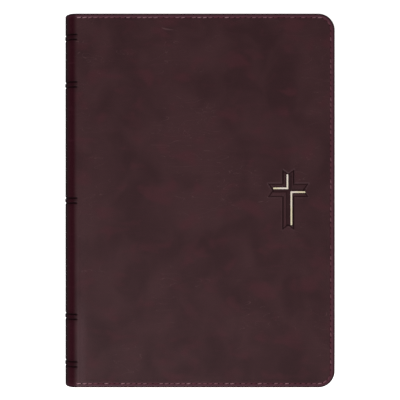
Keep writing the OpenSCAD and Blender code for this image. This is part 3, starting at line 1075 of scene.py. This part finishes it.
def wrappedCore(cx, coreR, halfA, beadY):
    # silk wound round a core, two turns of one colour and two of the other
    perWrap, sides = endBand["ringsPerWrap"], endBand["sides"]
    rings = round(2 * halfA * coreR / endBand["wrap"]) * perWrap + 1
    points = []
    for k in range(rings):
        a = math.pi - halfA + 2 * halfA * k / (rings - 1)
        swell = endBand["bead"] * (0.88 + 0.12 * abs(math.sin(math.pi * k / perWrap)))
        for s in range(sides):
            b = 2 * math.pi * s / sides
            reach = coreR + swell * math.cos(b)
            y = beadY + swell * math.sin(b)
            points.append((cx + reach * math.cos(a), y, midZ + reach * math.sin(a)))
    faces = tubeFaces(0, rings, sides)
    faces += [tuple(range(sides))[::-1], tuple(range((rings - 1) * sides, rings * sides))]
    finish = []
    for k in range(rings - 1):
        finish += [int(k / perWrap / endBand["wrapsPerColour"]) % 2] * sides
    return points, faces, finish + [0, 0]


def clothTape(cx, halfA, y0, y1, first):
    # the tape that the band is sewn to, glued round the back; first is its first point's number
    inner, outer = endBand["backRadius"], endBand["backRadius"] + endBand["tape"]
    steps = endBand["tapeSteps"]
    points = []
    for k in range(steps + 1):
        a = math.pi - halfA + 2 * halfA * k / steps
        for reach, y in ((inner, y0), (outer, y0), (outer, y1), (inner, y1)):
            points.append((cx + reach * math.cos(a), y, midZ + reach * math.sin(a)))
    faces = tubeFaces(first, steps + 1, 4, True)
    faces.append(tuple(first + s for s in range(4)))
    faces.append(tuple(first + 4 * steps + s for s in range(4))[::-1])
    return points, faces


def wovenBand(name, node):
    low, high = span(node)
    gauzeLow, gauzeHigh = span("spine_gauze")
    outer = endBand["backRadius"] + endBand["tape"]
    cx = gauzeLow.x + outer
    halfA = math.asin((gauzeHigh.z - midZ) / outer)
    outward = 1 if high.y > 0 else -1
    beadY = outward * (max(abs(low.y), abs(high.y)) - endBand["bead"])
    coreR = endBand["backRadius"] - endBand["bead"] + 0.1
    points, faces, finish = wrappedCore(cx, coreR, halfA, beadY)
    y0, y1 = (low.y, beadY) if outward > 0 else (beadY, high.y)
    tapePoints, tapeFaces = clothTape(cx, halfA, y0, y1, len(points))
    finish += [1] * len(tapeFaces)
    band = makeMesh(name, points + tapePoints, faces + tapeFaces, [wineSilk, ivorySilk], None, finish, 50)
    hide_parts(node)
    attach(band, "book_block")


wovenBand("headBand", "head_band")
wovenBand("tailBand", "tail_band")

plainParts = {  # these keep their shape and take a finish
    "foil_cross": foil,
    "front_board": board,
    "back_board": board,
    "spine_liner": linerCard,
    "spine_gauze": gauze,
    "spine_lining": kraft,
}
for node, finish in plainParts.items():
    mesh = frame["nodes"][node].data
    mesh.materials.clear()
    mesh.materials.append(finish)
print("bands, boards and foil: done")


# the studio: a pale table, soft lamps and the camera

studio = {
    "floor": 4.0,
    "drop": 0.2,  # the back's ribs and soft leather stand this far below its plain face
    "floorGlow": 0.8,
    "sky": 0.27,
    "cameraHeight": 0.8463,  # above the front cover
    "lens": 132.0,
    "aimX": 0.0005,
    "aimY": 0.0003,
    "lamps": (  # name, place, size, watts
        ("keyLamp", (-0.38, -0.66, 0.72), 0.6, 4.3),
        ("windowLamp", (-0.32, -0.5, 1.45), 0.7, 7.0),
        ("fillLamp", (0.8, -0.1, 1.3), 1.0, 2.15),
        ("topLamp", (-0.1, 0.9, 1.6), 1.2, 1.1),
    ),
}


def floorFinish():
    finish = Finish("paleTable")
    tone = finish.cloud(finish.space(), 300, 2.0, 0.5)
    colour = finish.blendColour(tone, (0.93, 0.93, 0.93), (0.95, 0.95, 0.95))
    return finish.done({"Base Color": colour, "Roughness": 0.85, "Specular IOR Level": 0.1,
                        "Emission Color": (1.0, 1.0, 1.0), "Emission Strength": studio["floorGlow"]})


reach = studio["floor"] / 2 / mm
tableZ = underZ - studio["drop"]
corners = [(x * reach, y * reach, tableZ) for x, y in ((-1, -1), (1, -1), (1, 1), (-1, 1))]
floor = makeMesh("table", corners, [(0, 1, 2, 3)], [floorFinish()])

world = bpy.data.worlds.new("studioSky")
world.use_nodes = True
sky = world.node_tree
background = sky.nodes["Background"]
background.inputs["Color"].default_value = (1, 1, 1, 1)
backdrop = sky.nodes.new("ShaderNodeMapRange")
backdrop.inputs["To Min"].default_value = studio["sky"]
backdrop.inputs["To Max"].default_value = 1.0  # what shows past the table is plain white
rays = sky.nodes.new("ShaderNodeLightPath")
sky.links.new(rays.outputs["Is Camera Ray"], backdrop.inputs["Value"])
sky.links.new(backdrop.outputs["Result"], background.inputs["Strength"])
scene.world = world

for name, place, size, watts in studio["lamps"]:
    lamp = bpy.data.lights.new(name, "AREA")
    lamp.size = size
    lamp.energy = watts
    holder = bpy.data.objects.new(name, lamp)
    holder.location = place
    holder.rotation_euler = (-Vector(place)).to_track_quat("-Z", "Y").to_euler()
    scene.collection.objects.link(holder)

# the camera looks straight down on the front cover
camera = bpy.data.objects.new("camera", bpy.data.cameras.new("camera"))
camera.data.lens = studio["lens"]
camera.data.sensor_width = 36.0
camera.data.clip_start = 0.01
camera.location = (studio["aimX"], studio["aimY"], topZ * mm + studio["cameraHeight"])
scene.collection.objects.link(camera)
scene.camera = camera
scene.view_settings.view_transform = "Standard"
print("studio: done")
